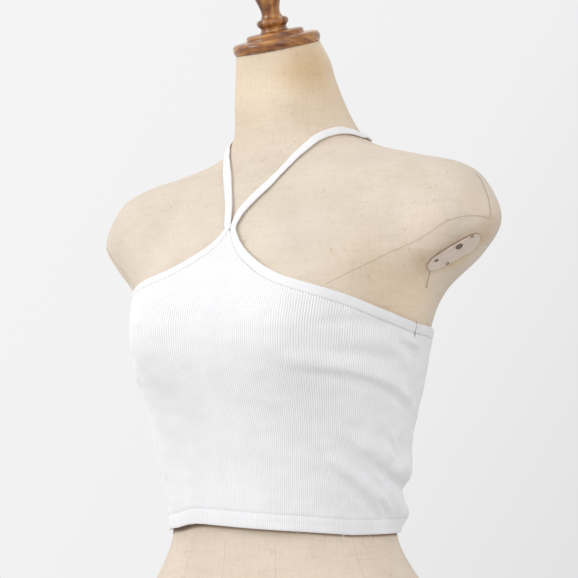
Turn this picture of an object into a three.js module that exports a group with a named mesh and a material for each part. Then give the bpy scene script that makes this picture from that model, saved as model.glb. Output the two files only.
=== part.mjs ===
import * as THREE from 'three';

// A white ribbed halter neck top, worn by a limbless dress form.
// Millimetres, +Z up. The front faces -Y and the wearer's left is +X.
// The origin is on the flat face under the form, below the middle of its waist.
//
// Every place on the form and on the cloth is an angle and a level.
// The angle runs round the body in degrees: 0 at the centre front, 90 at the wearer's left
// side, 180 at the centre back, 270 or -90 at the wearer's right side.
// The level counts the rows of formSections, from 0 at the underside to 19 at the neck's top.

// Cloth
const wall = 1.3;
const clearance = 0.8;
const ribHeight = 0.45;
const frontRibs = 60;
const backRibs = 50;
const frontRows = 15;
const backRows = 12;
const seamGap = 0.35;
const hemDepth = 0.29;
const hemStep = 0.02;
const hemExtra = 0.6;
const stripThickness = 2.1;

// Side seams, in degrees from the centre front, at the hem and at the top edge
const sideSeamLow = 84;
const sideSeamHigh = 87.4;
const seamHalfGap = 0.1;

// The Y sits a little to the wearer's right of the centre front, in degrees
const yOffset = -0.7;
const yApexLevel = 10.56;

// Wooden cap and knob
const capTilt = 19.5;
const seatGap = 0.3;
const turnedSides = 28;

// Arm plates
const plateAngle = 86;
const plateLevel = 9.77;
const plateHalfLength = 26;
const plateHalfWidth = 12.8;
const plateThickness = 2.2;
const plateGap = 0.6;
const plateTurn = 52;
const plateSides = 24;
const plateRings = [
  { share: 0.5, height: 0 },
  { share: 1, height: 0 },
  { share: 1, height: 0.7 * plateThickness },
  { share: 0.9, height: plateThickness },
  { share: 0.5, height: plateThickness },
];

// The form's level sections: height of the middle, half width, the middle's place on Y,
// depth to the front, depth to the back, roundness (2 is an ellipse), forward tilt in degrees
const formSections = [
  { height: 0, half: 150, middle: 16, front: 98, back: 104, power: 2.3, tilt: 0 },
  { height: 50, half: 158, middle: 16, front: 102, back: 106, power: 2.3, tilt: 0 },
  { height: 100, half: 152, middle: 14, front: 100, back: 100, power: 2.3, tilt: 0 },
  { height: 145, half: 130, middle: 12, front: 93, back: 84, power: 2.25, tilt: 0 },
  { height: 190, half: 107, middle: 8, front: 82, back: 65, power: 2.2, tilt: 0 },
  { height: 235, half: 109, middle: 6, front: 84, back: 63, power: 2.2, tilt: 0 },
  { height: 285, half: 119, middle: 7, front: 90.5, back: 73, power: 2.25, tilt: 0 },
  { height: 335, half: 128.5, middle: 9, front: 94, back: 83.5, power: 2.3, tilt: 0 },
  { height: 380, half: 135.5, middle: 11, front: 95.5, back: 89, power: 2.35, tilt: 0 },
  { height: 408, half: 151.5, middle: 12, front: 93.5, back: 93, power: 2.3, tilt: 0 },
  { height: 436, half: 187, middle: 15.5, front: 90.5, back: 94, power: 2.2, tilt: 0 },
  { height: 464, half: 206.5, middle: 16.5, front: 84, back: 92, power: 2.15, tilt: 0 },
  { height: 497.5, half: 191, middle: 18, front: 76, back: 86, power: 2.15, tilt: 2 },
  { height: 514, half: 165.5, middle: 20, front: 67, back: 76, power: 2.1, tilt: 5 },
  { height: 524.5, half: 123, middle: 21, front: 60, back: 68, power: 2.05, tilt: 9 },
  { height: 537, half: 77, middle: 19, front: 54, back: 60, power: 2, tilt: 13 },
  { height: 557, half: 57, middle: 19, front: 52.5, back: 53, power: 2, tilt: 16 },
  { height: 590, half: 48, middle: 7.5, front: 46, back: 46, power: 2, tilt: 17 },
  { height: 612, half: 44.4, middle: 2, front: 41, back: 41.5, power: 2, tilt: 18 },
  { height: 629.2, half: 38.3, middle: -6, front: 38, back: 38, power: 2, tilt: 19.5 },
];

// How far apart the form's rings are, in levels, from one level to the next
const formRings = [
  { from: 0, to: 4, step: 1 },
  { from: 4, to: 6.5, step: 0.5 },
  { from: 6.5, to: 9.5, step: 0.25 },
  { from: 9.5, to: 12, step: 0.5 },
  { from: 12, to: 15.5, step: 0.35 },
  { from: 15.5, to: 17, step: 0.5 },
  { from: 17, to: 19, step: 1 },
];
const formSides = 50;

// The shaped bust: a soft mound on each side of the centre front
const bust = { side: 72, height: 368, out: 36, wide: 56, up: 62, down: 58 };

// Cloth that spans the dip between the cups
const bridge = { out: 9, wide: 40, height: 362, tall: 62 };

// How far the hem stands off all round, and further at the centre front
const hemRoom = { from: 262, over: 62, round: 0.5, front: 4.2 };

// Slack in the hollow of the back
const backRoom = { out: 3, height: 234, tall: 34 };

// The hem's height all round, as a level: the back sits level with the sides
const hemLevels = [
  { angle: -180, level: 4.15 },
  { angle: -110, level: 4.15 },
  { angle: -55, level: 4.15 },
  { angle: -34, level: 4.24 },
  { angle: -17, level: 4.36 },
  { angle: 3, level: 4.32 },
  { angle: 35, level: 4.24 },
  { angle: 61, level: 4.16 },
  { angle: 110, level: 4.15 },
  { angle: 180, level: 4.15 },
];

// The left and right strips, from the side seam along the armhole to the Y, then round the
// neck to the nape: the angle from the Y, each strip's level, and the strip's width
const strapRows = [
  { angle: 87.3, left: 7.78, right: 7.95, width: 9 },
  { angle: 76, left: 7.88, right: 8.15, width: 9 },
  { angle: 63, left: 8.07, right: 8.45, width: 9 },
  { angle: 53, left: 8.31, right: 8.75, width: 9 },
  { angle: 44, left: 8.54, right: 8.95, width: 9 },
  { angle: 35, left: 8.78, right: 9.12, width: 8.8 },
  { angle: 26.7, left: 9.05, right: 9.29, width: 8.6 },
  { angle: 18.2, left: 9.41, right: 9.6, width: 8.2 },
  { angle: 9.1, left: 9.93, right: 10.05, width: 7.4 },
  { angle: 4, left: 10.39, right: 10.44, width: 6.2 },
  { angle: 1.5, left: 10.78, right: 10.79, width: 5.2 },
  { angle: 2.3, left: 11.08, right: 10.95, width: 7 },
  { angle: 5.5, left: 11.38, right: 11.6, width: 7.8 },
  { angle: 12, left: 11.74, right: 12.56, width: 7.8 },
  { angle: 20, left: 12.44, right: 13.6, width: 7.8 },
  { angle: 28, left: 14.48, right: 14.53, width: 7.8 },
  { angle: 38, left: 15.3, right: 15.26, width: 7.8 },
  { angle: 52, left: 15.71, right: 15.65, width: 7.8 },
  { angle: 70, left: 15.78, right: 15.74, width: 7.8 },
  { angle: 92, left: 15.6, right: 15.62, width: 7.8 },
  { angle: 110, left: 15.33, right: 15.34, width: 7.8 },
  { angle: 145, left: 15.04, right: 15.05, width: 7.8 },
  { angle: 180, left: 14.95, right: 14.95, width: 7.8 },
];
const strapSteps = 3;

// The back's binding, from the left side seam round the back to the right side seam
const backBinding = [
  { angle: 87.6, level: 7.78, width: 9 },
  { angle: 112, level: 7.72, width: 9 },
  { angle: 145, level: 7.72, width: 9 },
  { angle: 180, level: 7.74, width: 9 },
  { angle: 215, level: 7.76, width: 9 },
  { angle: 248, level: 7.82, width: 9 },
  { angle: 272, level: 7.96, width: 9 },
];
const backBindingSteps = 5;

// The largest folds, as ridges that run from one place on the cloth to another: the angle and
// height of each end, how far the middle sags, the ridge's height and its half width
const folds = [
  { from: 42, low: 341, to: 88, high: 314, sag: 5, out: 3, half: 8 },
  { from: 62, low: 360, to: 86, high: 338, sag: 5, out: 2.4, half: 9 },
  { from: 68, low: 272, to: 106, high: 246, sag: 0, out: 3.2, half: 8 },
  { from: 78, low: 236, to: 128, high: 210, sag: -3, out: 4, half: 10 },
  { from: 54, low: 256, to: 86, high: 216, sag: 0, out: 2.4, half: 8 },
  { from: 98, low: 255, to: 150, high: 259, sag: 3, out: 4.2, half: 11 },
  { from: 104, low: 212, to: 152, high: 218, sag: -3, out: 3.8, half: 9 },
  { from: 168, low: 252, to: 215, high: 258, sag: -4, out: 5, half: 13 },
  { from: 176, low: 219, to: 232, high: 213, sag: 3, out: 5, half: 11 },
  { from: 228, low: 262, to: 268, high: 246, sag: 4, out: 5, half: 12 },
  { from: 242, low: 232, to: 290, high: 250, sag: -3, out: 3, half: 11 },
  { from: 272, low: 300, to: 312, high: 336, sag: 8, out: 2.6, half: 11 },
  { from: 272, low: 262, to: 318, high: 262, sag: 0, out: 3.6, half: 40 },
];

// Profiles of the turned wood, radius and height above the neck's top
const capProfile = [
  [0, 0], [38, 0], [39.6, 1.8], [40, 5], [39.2, 8], [37, 9.6], [27, 10],
  [26, 11], [25.8, 13.2], [24.4, 14.6], [14, 15], [0, 15],
];
const knobProfile = [
  [0, 0], [13.4, 0], [12, 1.6], [12, 4], [13.8, 5.6], [14.4, 8.4], [13.6, 11.2], [10, 13.2],
  [8.4, 16.4], [8.9, 21], [11.4, 29], [13.8, 37], [14.9, 45], [13.6, 53], [9, 59], [0, 61.6],
];

const materials = {
  cloth: { color: 0xf1f1f3, roughness: 0.9, metalness: 0 },
  linen: { color: 0xd9cfc0, roughness: 0.95, metalness: 0 },
  wood: { color: 0x7a4523, roughness: 0.35, metalness: 0 },
  plate: { color: 0xe4dccd, roughness: 0.6, metalness: 0 },
};

const radians = THREE.MathUtils.degToRad;
const clamp = THREE.MathUtils.clamp;
const lerp = THREE.MathUtils.lerp;

// A smooth curve (Catmull-Rom) through a table's rows, read at any place between them
function smoothRow(rows, place) {
  const first = clamp(Math.floor(place), 0, rows.length - 2);
  const f = place - first;
  const before = rows[Math.max(first - 1, 0)];
  const start = rows[first];
  const end = rows[first + 1];
  const after = rows[Math.min(first + 2, rows.length - 1)];
  const result = {};
  for (const key of Object.keys(start)) {
    const a = before[key];
    const b = start[key];
    const c = end[key];
    const d = after[key];
    const bend = (2 * a - 5 * b + 4 * c - d) * f + (3 * (b - c) + d - a) * f * f;
    result[key] = 0.5 * (2 * b + (c - a) * f + bend * f);
  }
  return result;
}

// A straight reading of a table between the rows on either side of a key's value
function readTable(rows, key, value, column) {
  let next = rows.findIndex((row) => row[key] >= value);
  if (next === -1) next = rows.length - 1;
  const end = rows[Math.max(next, 1)];
  const start = rows[Math.max(next, 1) - 1];
  const share = clamp((value - start[key]) / (end[key] - start[key]), 0, 1);
  return lerp(start[column], end[column], share);
}

function turnOf(angle) {
  return ((((angle + 180) % 360) + 360) % 360) - 180;
}

// The form's surface: a rounded section at each level, with the bust added in front
function formPoint(angle, level) {
  const row = smoothRow(formSections, clamp(level, 0, formSections.length - 1));
  const direction = new THREE.Vector2(1.3 * Math.sin(radians(angle)), -Math.cos(radians(angle)));
  direction.normalize();
  const depth = direction.y < 0 ? row.front : row.back;
  const across = Math.abs(direction.x / row.half) ** row.power;
  const along = Math.abs(direction.y / depth) ** row.power;
  const radius = (across + along) ** (-1 / row.power);
  let x = radius * direction.x;
  let y = radius * direction.y;
  if (y < 0) {
    const tall = row.height > bust.height ? bust.up : bust.down;
    const rise = ((row.height - bust.height) / tall) ** 2;
    for (const side of [-1, 1]) {
      const aside = ((x - side * bust.side) / bust.wide) ** 2;
      const mound = bust.out * Math.exp(-aside - rise) * Math.sqrt(-direction.y);
      x += 0.18 * side * mound;
      y -= mound;
    }
  }
  const tilt = radians(row.tilt);
  return new THREE.Vector3(x, row.middle + y * Math.cos(tilt), row.height + y * Math.sin(tilt));
}

// The form's surface directions and outward normal at a place
function formFrame(angle, level) {
  const turn = 0.5;
  const rise = 0.02;
  const low = Math.max(level - rise, 0);
  const high = Math.min(level + rise, formSections.length - 1);
  const around = formPoint(angle + turn, level).sub(formPoint(angle - turn, level));
  around.divideScalar(2 * turn);
  const upward = formPoint(angle, high).sub(formPoint(angle, low)).divideScalar(high - low);
  const normal = around.clone().cross(upward).normalize();
  return { around, upward, normal };
}

// How much a fold lifts the cloth: a ridge of bell section, fading out at both ends
function foldLift(fold, angle, height) {
  const span = fold.to - fold.from;
  const place = (((angle - fold.from) % 360) + 360) % 360;
  const share = (place > 180 + span / 2 ? place - 360 : place) / span;
  if (share < -0.3 || share > 1.3) return 0;
  const line = lerp(fold.low, fold.high, share) + 4 * fold.sag * share * (1 - share);
  const ends = 1 - Math.min(1, Math.abs(2 * share - 1) / 1.6) ** 4;
  return fold.out * ends * Math.exp(-(((height - line) / fold.half) ** 2));
}

// How far the cloth's inner face stands off the form
function clothRoom(angle, level) {
  const place = turnOf(angle);
  const point = formPoint(place, level);
  let room = clearance;
  if (Math.abs(place) < 90) {
    const aside = (point.x / bridge.wide) ** 2;
    const rise = ((point.z - bridge.height) / bridge.tall) ** 2;
    room += bridge.out * Math.exp(-aside - rise) * Math.cos(radians(place)) ** 2;
    room += 0.4 * Math.exp(-(((point.z - bust.height) / bust.up) ** 2));
  }
  const nearHem = clamp((hemRoom.from - point.z) / hemRoom.over, 0, 1);
  const facing = Math.max(Math.cos(radians(place)), 0) ** 2;
  room += nearHem ** 2 * (hemRoom.round + hemRoom.front * facing);
  const behind = clamp((Math.abs(place) - 80) / 50, 0, 1);
  const fromWaist = (point.z - backRoom.height) / backRoom.tall;
  room += backRoom.out * behind * Math.exp(-(fromWaist ** 2));
  for (const fold of folds) {
    room += foldLift(fold, place, point.z);
  }
  return room;
}

// A point of the cloth, a height above its inner face
function clothPoint(angle, level, height) {
  const { normal } = formFrame(angle, level);
  return formPoint(angle, level).addScaledVector(normal, clothRoom(angle, level) + height);
}

// One closed solid from points and triangles, turned so that its faces point out
function solid(name, points, triangles, look) {
  let volume = 0;
  const cross = new THREE.Vector3();
  for (const [a, b, c] of triangles) {
    volume += points[a].dot(cross.crossVectors(points[b], points[c]));
  }
  const index = volume < 0 ? triangles.map(([a, b, c]) => [a, c, b]) : triangles;
  const geometry = new THREE.BufferGeometry().setFromPoints(points);
  geometry.setIndex(index.flat());
  geometry.computeVertexNormals();
  const mesh = new THREE.Mesh(geometry, new THREE.MeshStandardMaterial(materials[look]));
  mesh.name = name;
  return mesh;
}

// A solid through rings of equal count, closed at both ends by fans round their middles
function loft(name, rings, look) {
  const count = rings[0].length;
  const points = rings.flat();
  const triangles = [];
  for (let ring = 0; ring + 1 < rings.length; ring += 1) {
    for (let side = 0; side < count; side += 1) {
      const a = ring * count + side;
      const b = ring * count + ((side + 1) % count);
      triangles.push([a, b, b + count], [a, b + count, a + count]);
    }
  }
  const ends = [{ ring: 0, flip: true }, { ring: rings.length - 1, flip: false }];
  for (const { ring, flip } of ends) {
    const middle = new THREE.Vector3();
    rings[ring].forEach((point) => middle.addScaledVector(point, 1 / count));
    const hub = points.length;
    points.push(middle);
    for (let side = 0; side < count; side += 1) {
      const a = ring * count + side;
      const b = ring * count + ((side + 1) % count);
      triangles.push(flip ? [hub, b, a] : [hub, a, b]);
    }
  }
  return solid(name, points, triangles, look);
}

// A ribbed wall: two outer columns to each rib, one inner column, closed all round.
// place(share, row, height) gives a point; share runs from 0 to 1 across the panel.
function ribbedWall(name, ribs, rows, place, look) {
  const points = [];
  const outer = [];
  const inner = [];
  for (let row = 0; row <= rows; row += 1) {
    outer.push([]);
    inner.push([]);
    const thickness = wall + (row < 2 ? hemExtra : 0);
    for (let column = 0; column <= 2 * ribs; column += 1) {
      outer[row].push(points.length);
      points.push(place(column / (2 * ribs), row, thickness + (column % 2) * ribHeight));
    }
    for (let column = 0; column <= ribs; column += 1) {
      inner[row].push(points.length);
      points.push(place(column / ribs, row, 0));
    }
  }
  const triangles = [];
  const quad = (a, b, c, d) => triangles.push([a, b, c], [a, c, d]);
  for (let row = 0; row < rows; row += 1) {
    for (let column = 0; column < 2 * ribs; column += 1) {
      const next = column + 1;
      quad(outer[row][column], outer[row][next], outer[row + 1][next], outer[row + 1][column]);
    }
    for (let column = 0; column < ribs; column += 1) {
      const next = column + 1;
      quad(inner[row][column], inner[row + 1][column], inner[row + 1][next], inner[row][next]);
    }
    const last = 2 * ribs;
    quad(outer[row][0], outer[row + 1][0], inner[row + 1][0], inner[row][0]);
    quad(outer[row + 1][last], outer[row][last], inner[row][ribs], inner[row + 1][ribs]);
  }
  for (let rib = 0; rib < ribs; rib += 1) {
    for (const row of [0, rows]) {
      const [a, b, c] = outer[row].slice(2 * rib, 2 * rib + 3);
      const [d, e] = inner[row].slice(rib, rib + 2);
      const faces = [[b, a, d], [b, d, e], [c, b, e]];
      triangles.push(...(row === 0 ? faces : faces.map(([p, q, r]) => [p, r, q])));
    }
  }
  return solid(name, points, triangles, look);
}

// Smooth stations along a strip's table
function stationsOf(rows, steps) {
  const stations = [];
  for (let step = 0; step <= (rows.length - 1) * steps; step += 1) {
    stations.push(smoothRow(rows, step / steps));
  }
  return stations;
}

// The place on the form beside a station, a distance to the left of the strip's run
function beside(stations, index, distance) {
  const here = stations[index];
  const next = stations[Math.min(index + 1, stations.length - 1)];
  const last = stations[Math.max(index - 1, 0)];
  const { around, upward, normal } = formFrame(here.angle, here.level);
  const run = formPoint(next.angle, next.level).sub(formPoint(last.angle, last.level));
  const side = normal.clone().cross(run).normalize().multiplyScalar(distance);
  const aa = around.dot(around);
  const ab = around.dot(upward);
  const bb = upward.dot(upward);
  const scale = 1 / (aa * bb - ab * ab);
  const turn = (side.dot(around) * bb - side.dot(upward) * ab) * scale;
  const rise = (side.dot(upward) * aa - side.dot(around) * ab) * scale;
  return { angle: here.angle + turn, level: here.level + rise };
}

// A strip's section: share of its half width, and share of its thickness
const stripSection = [[-1, 0], [-1, 0.6], [-0.55, 1], [0.55, 1], [1, 0.6], [1, 0]];

function strip(name, stations, limit) {
  const rings = stations.map((station, index) => stripSection.map(([across, up]) => {
    const place = limit(beside(stations, index, (across * station.width) / 2));
    return clothPoint(place.angle, place.level, up * stripThickness);
  }));
  return loft(name, rings, 'cloth');
}

// The left strip runs at positive angles and the right one at negative angles
function strapStations(side) {
  const rows = strapRows.map((row) => ({
    angle: side * row.angle,
    level: side > 0 ? row.left : row.right,
    width: row.width,
  }));
  return stationsOf(rows, strapSteps).map((station) => {
    const fade = clamp(1 - Math.abs(station.angle) / 60, 0, 1);
    return { ...station, angle: station.angle + yOffset * fade };
  });
}

// Keeps a strap on its own side of the Y and of the nape
function strapLimit(side) {
  const least = 0.09;
  return ({ angle, level }) => {
    const fromY = Math.max(side * (angle - yOffset), least);
    const nearY = fromY < 1;
    const held = nearY ? yOffset + side * fromY : angle;
    return { angle: side * Math.min(side * held, 180 - least), level };
  };
}

function strap(name, side) {
  return strip(name, strapStations(side), strapLimit(side));
}

// The panel's top edge: the strip's lower side, a seam gap further on, as angle and level
function lowerSide(stations, side) {
  return stations.map((station, index) => {
    return beside(stations, index, side * (station.width / 2 + seamGap));
  });
}

// Each strap runs from the side seam towards the Y, so the panel lies to the left of the
// left strap's run and to the right of the right strap's run
const yRow = strapRows.findIndex((row) => row.angle < 2) * strapSteps;
const armholes = [-1, 1].flatMap((side) => {
  const part = lowerSide(strapStations(side), side).slice(0, yRow);
  return side < 0 ? part : part.reverse();
}).filter((place, index, all) => index === 0 || place.angle > all[index - 1].angle);

function frontTop(angle) {
  return Math.min(readTable(armholes, 'angle', angle, 'level'), yApexLevel);
}

// A panel's level at a row: the hem's edge, the hem's upper line twice, then even rows
function rowLevel(row, rows, low, high) {
  if (row === 0) return low;
  if (row === 1) return low + hemDepth;
  const start = low + hemDepth + hemStep;
  return lerp(start, high, (row - 2) / (rows - 2));
}

function frontPlace(share, row, height) {
  const rise = row / frontRows;
  const reach = lerp(sideSeamLow, sideSeamHigh, rise) - seamHalfGap;
  const angle = lerp(-reach, reach, share);
  const low = readTable(hemLevels, 'angle', angle, 'level');
  return clothPoint(angle, rowLevel(row, frontRows, low, frontTop(angle)), height);
}

const backStations = stationsOf(backBinding, backBindingSteps);
const backLowerSide = lowerSide(backStations, -1);

function backPlace(share, row, height) {
  const rise = row / backRows;
  const reach = lerp(sideSeamLow, sideSeamHigh, rise) + seamHalfGap;
  const angle = lerp(reach, 360 - reach, share);
  const low = readTable(hemLevels, 'angle', turnOf(angle), 'level');
  const high = readTable(backLowerSide, 'angle', angle, 'level');
  return clothPoint(angle, rowLevel(row, backRows, low, high), height);
}

function dressForm() {
  const levels = formRings.flatMap(({ from, to, step }) => {
    const count = Math.round((to - from) / step);
    return Array.from({ length: count }, (_, index) => from + index * step);
  });
  levels.push(formSections.length - 1);
  const rings = levels.map((level) => Array.from({ length: formSides }, (_, side) => {
    return formPoint((side * 360) / formSides, level);
  }));
  return loft('dress_form', rings, 'linen');
}

// A turned piece on the neck's tilted top
function turned(name, profile, lift) {
  const outline = profile.map(([radius, height]) => new THREE.Vector2(radius, height));
  const geometry = new THREE.LatheGeometry(outline, turnedSides);
  geometry.rotateX(Math.PI / 2);
  const mesh = new THREE.Mesh(geometry, new THREE.MeshStandardMaterial(materials.wood));
  const top = formSections[formSections.length - 1];
  const tilt = radians(capTilt);
  mesh.name = name;
  mesh.rotation.x = tilt;
  mesh.position.set(0, top.middle - lift * Math.sin(tilt), top.height + lift * Math.cos(tilt));
  return mesh;
}

// An oval plate over the arm opening, made from the form's own surface moved out
function armPlate(name, side) {
  const middle = side * plateAngle;
  const { around, upward, normal } = formFrame(middle, plateLevel);
  const level = around.clone().normalize();
  const steep = normal.clone().cross(level);
  const slant = radians(side * plateTurn);
  const place = (share, turn, height) => {
    const long = share * plateHalfLength * Math.cos(turn);
    const short = share * plateHalfWidth * Math.sin(turn);
    const sideways = long * Math.cos(slant) - short * Math.sin(slant);
    const up = long * Math.sin(slant) + short * Math.cos(slant);
    const rise = up / upward.dot(steep);
    const angle = middle + (sideways - rise * upward.dot(level)) / around.length();
    const out = formFrame(angle, plateLevel + rise).normal;
    return formPoint(angle, plateLevel + rise).addScaledVector(out, plateGap + height);
  };
  const ring = ({ share, height }) => Array.from({ length: plateSides }, (_, index) => {
    return place(share, (index * 2 * Math.PI) / plateSides, height);
  });
  return loft(name, plateRings.map(ring), 'plate');
}

const group = new THREE.Group();
group.add(
  dressForm(),
  turned('neck_cap', capProfile, seatGap),
  turned('neck_knob', knobProfile, capProfile[capProfile.length - 1][1] + 2 * seatGap),
  armPlate('arm_plate_left', 1),
  armPlate('arm_plate_right', -1),
  ribbedWall('front_panel', frontRibs, frontRows, frontPlace, 'cloth'),
  ribbedWall('back_panel', backRibs, backRows, backPlace, 'cloth'),
  strap('strap_left', 1),
  strap('strap_right', -1),
  strip('binding_back', backStations, (place) => place),
);

export default group;
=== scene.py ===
import math

import bpy
import numpy as np
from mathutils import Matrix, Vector


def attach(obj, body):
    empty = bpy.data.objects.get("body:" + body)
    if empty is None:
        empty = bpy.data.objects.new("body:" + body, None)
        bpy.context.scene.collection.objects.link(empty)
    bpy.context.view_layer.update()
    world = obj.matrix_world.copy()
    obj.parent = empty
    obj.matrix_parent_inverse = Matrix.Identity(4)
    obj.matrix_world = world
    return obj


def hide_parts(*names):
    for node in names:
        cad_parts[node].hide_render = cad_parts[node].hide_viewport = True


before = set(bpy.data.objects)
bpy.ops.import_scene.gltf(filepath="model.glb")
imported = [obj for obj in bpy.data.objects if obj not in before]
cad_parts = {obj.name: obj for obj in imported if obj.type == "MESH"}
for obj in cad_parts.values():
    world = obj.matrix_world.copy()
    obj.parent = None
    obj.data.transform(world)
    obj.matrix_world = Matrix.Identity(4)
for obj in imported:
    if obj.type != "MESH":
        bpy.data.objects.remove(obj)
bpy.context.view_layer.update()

scene = bpy.context.scene

# A white ribbed halter neck top on a linen dress form. Lengths are in millimetres until a mesh
# is made, and the wearer's left is +X. A place on the body is an angle in degrees round it
# (0 at the centre front, 90 at the wearer's left side) and a level, which counts the rows of
# FORM_SECTIONS from the underside to the neck's top, with smooth steps between them.
MM = 0.001
SIDES = ((1, "left"), (-1, "right"))

# height, half width, middle on Y, depth to the front, depth to the back, roundness, tilt
FORM_SECTIONS = np.array([
    [0, 150, 16, 98, 104, 2.3, 0],
    [50, 158, 16, 102, 106, 2.3, 0],
    [100, 152, 14, 100, 100, 2.3, 0],
    [145, 130, 12, 93, 84, 2.25, 0],
    [190, 107, 8, 82, 65, 2.2, 0],
    [235, 109, 6, 84, 63, 2.2, 0],
    [285, 119, 7, 90.5, 73, 2.25, 0],
    [335, 128.5, 9, 94, 83.5, 2.3, 0],
    [380, 135.5, 11, 95.5, 89, 2.35, 0],
    [408, 151.5, 12, 93.5, 93, 2.3, 0],
    [436, 187, 15.5, 90.5, 94, 2.2, 0],
    [464, 206.5, 16.5, 84, 92, 2.15, 0],
    [497.5, 191, 18, 76, 86, 2.15, 2],
    [514, 165.5, 20, 67, 76, 2.1, 5],
    [524.5, 123, 21, 60, 68, 2.05, 9],
    [537, 77, 19, 54, 60, 2, 13],
    [557, 57, 19, 52.5, 53, 2, 16],
    [590, 48, 7.5, 46, 46, 2, 17],
    [612, 44.4, 2, 41, 41.5, 2, 18],
    [629.2, 38.3, -6, 38, 38, 2, 19.5],
])
TOP_LEVEL = len(FORM_SECTIONS) - 1
# Turns the angle faster at the sides, where the form is wider than it is deep
WIDER = 1.3
# The bust's two mounds, the cloth's bridge between them, and its slack at the hem and behind
BUST = {"side": 72, "height": 368, "out": 36, "wide": 56, "up": 62, "down": 58, "spread": 0.18}
BRIDGE = {"out": 9, "wide": 40, "height": 362, "tall": 62}
HEM_ROOM = {"from": 262, "over": 62, "round": 0.3, "front": 6}
BACK_ROOM = {"out": 3, "height": 234, "tall": 34}

# Cloth: its least room over the form, then its thickness, ribs, hem and tapes. The seam gap is
# the free space beside a tape, and the hem's line of stitches is in levels above its edge.
CLEARANCE = 0.8
WALL = 1.2
RIB_HEIGHT = 0.5
RIB_PITCH = 2.1
HEM_LINE = 0.293
HEM_EXTRA = 0.45
SEAM_GAP = 0.12
STRIP_THICKNESS = 2.1
STITCH_SHARE = 0.62
SIDE_SEAM_LOW = 84
SIDE_SEAM_HIGH = 87.4
SEAM_HALF = 0.04
Y_OFFSET = -0.7
Y_APEX_LEVEL = 10.68

# angle and level of the hem's edge
HEM_LEVELS = np.array([
    [-180, 4.15], [-110, 4.15], [-55, 4.15], [-34, 4.24], [-24, 4.322], [-18, 4.35],
    [-12, 4.351], [3, 4.32], [35, 4.24], [61, 4.16], [110, 4.15], [180, 4.15],
])

# angle from the Y, the left strip's level, the right strip's level, width
STRAP_ROWS = np.array([
    [87.3, 7.78, 7.95, 9], [76, 7.88, 8.15, 9], [63, 8.07, 8.45, 9],
    [53, 8.31, 8.75, 9], [44, 8.54, 8.95, 9], [35, 8.78, 9.12, 8.8],
    [26.7, 9.05, 9.29, 8.6], [18.2, 9.41, 9.6, 8.2], [9.1, 9.93, 10.05, 7.6],
    [4, 10.39, 10.44, 6.4], [1.5, 10.78, 10.79, 5.4], [2.3, 11.08, 10.9, 7],
    [3.9, 11.27, 11.36, 7.5], [6.3, 11.43, 11.76, 7.8], [9.1, 11.59, 12.16, 7.8],
    [12, 11.74, 12.54, 7.8], [15, 11.91, 12.92, 7.8], [17.8, 12.13, 13.29, 7.8],
    [20.2, 12.48, 13.62, 7.8], [22.5, 13.05, 13.94, 7.8], [25, 14.01, 14.25, 7.8],
    [29.2, 14.64, 14.68, 7.8], [34, 15.03, 15.01, 7.8], [38.8, 15.33, 15.27, 7.8],
    [44.3, 15.56, 15.5, 7.8], [51, 15.7, 15.63, 7.8], [59.5, 15.78, 15.73, 7.8],
    [70, 15.79, 15.76, 7.8], [80, 15.74, 15.72, 7.8], [92, 15.6, 15.62, 7.8],
    [110, 15.33, 15.34, 7.8], [145, 15.04, 15.05, 7.8], [180, 14.95, 14.95, 7.8],
])
Y_ROW = 10

# angle, level, width of the back's binding
BACK_BINDING = np.array([
    [87.6, 7.78, 9], [112, 7.72, 9], [145, 7.72, 9], [180, 7.74, 9],
    [215, 7.76, 9], [248, 7.82, 9], [272, 7.96, 9],
])

# Ridges: angle and height of each end, sag of the middle, height of the ridge, half width
FOLDS = np.array([
    [42, 341, 88, 314, 5, 3, 8],
    [62, 360, 86, 338, 5, 2.4, 9],
    [68, 272, 106, 246, 0, 3.2, 8],
    [78, 236, 128, 210, -3, 4, 10],
    [54, 256, 86, 216, 0, 2.4, 8],
    [98, 255, 150, 259, 3, 4.2, 11],
    [104, 212, 152, 218, -3, 3.8, 9],
    [168, 252, 215, 258, -4, 5, 13],
    [176, 219, 232, 213, 3, 5, 11],
    [228, 262, 268, 246, 4, 5, 12],
    [242, 232, 290, 250, -3, 3, 11],
    [272, 300, 312, 336, 8, 2.6, 11],
    [272, 262, 318, 262, 0, 3.6, 40],
])

# Narrow creases beside the ridges, in the same columns, with their depth below zero
CREASES = np.array([
    [36, 332, 95, 299, 6, -3.4, 3.2],
    [42, 369, 74, 369, 4, -1.2, 4],
    [41, 348, 76, 343, 1, -1.2, 5],
    [77, 357, 95, 346, 0, -4.6, 3.6],
    [64, 263, 108, 236, -5, -4, 3.6],
    [74, 283, 99, 243, 2, -2.2, 3.4],
    [51, 276, 80, 231, 0, -2.8, 5.5],
    [48, 251, 79, 211, 0, -2.6, 4.5],
    [76, 227, 91, 208, 0, -3, 2.6],
    [79, 240, 86, 232, 6, -1.6, 2.4],
    [98, 234, 162, 236, -2, -1.8, 5.5],
    [160, 238, 232, 236, 2, -2.8, 5],
    [232, 245, 284, 235, -2, -2.4, 4.5],
    [266, 286, 320, 324, 9, -2.4, 3.5],
    [260, 351, 288, 357, 0, -2.2, 4.5],
])
# Each crease pushes up a narrow ridge over itself: how far above, how high and how wide it is
CREASE_RIDGE = {"above": 2.1, "high": 0.5, "wide": 1.25}


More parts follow.
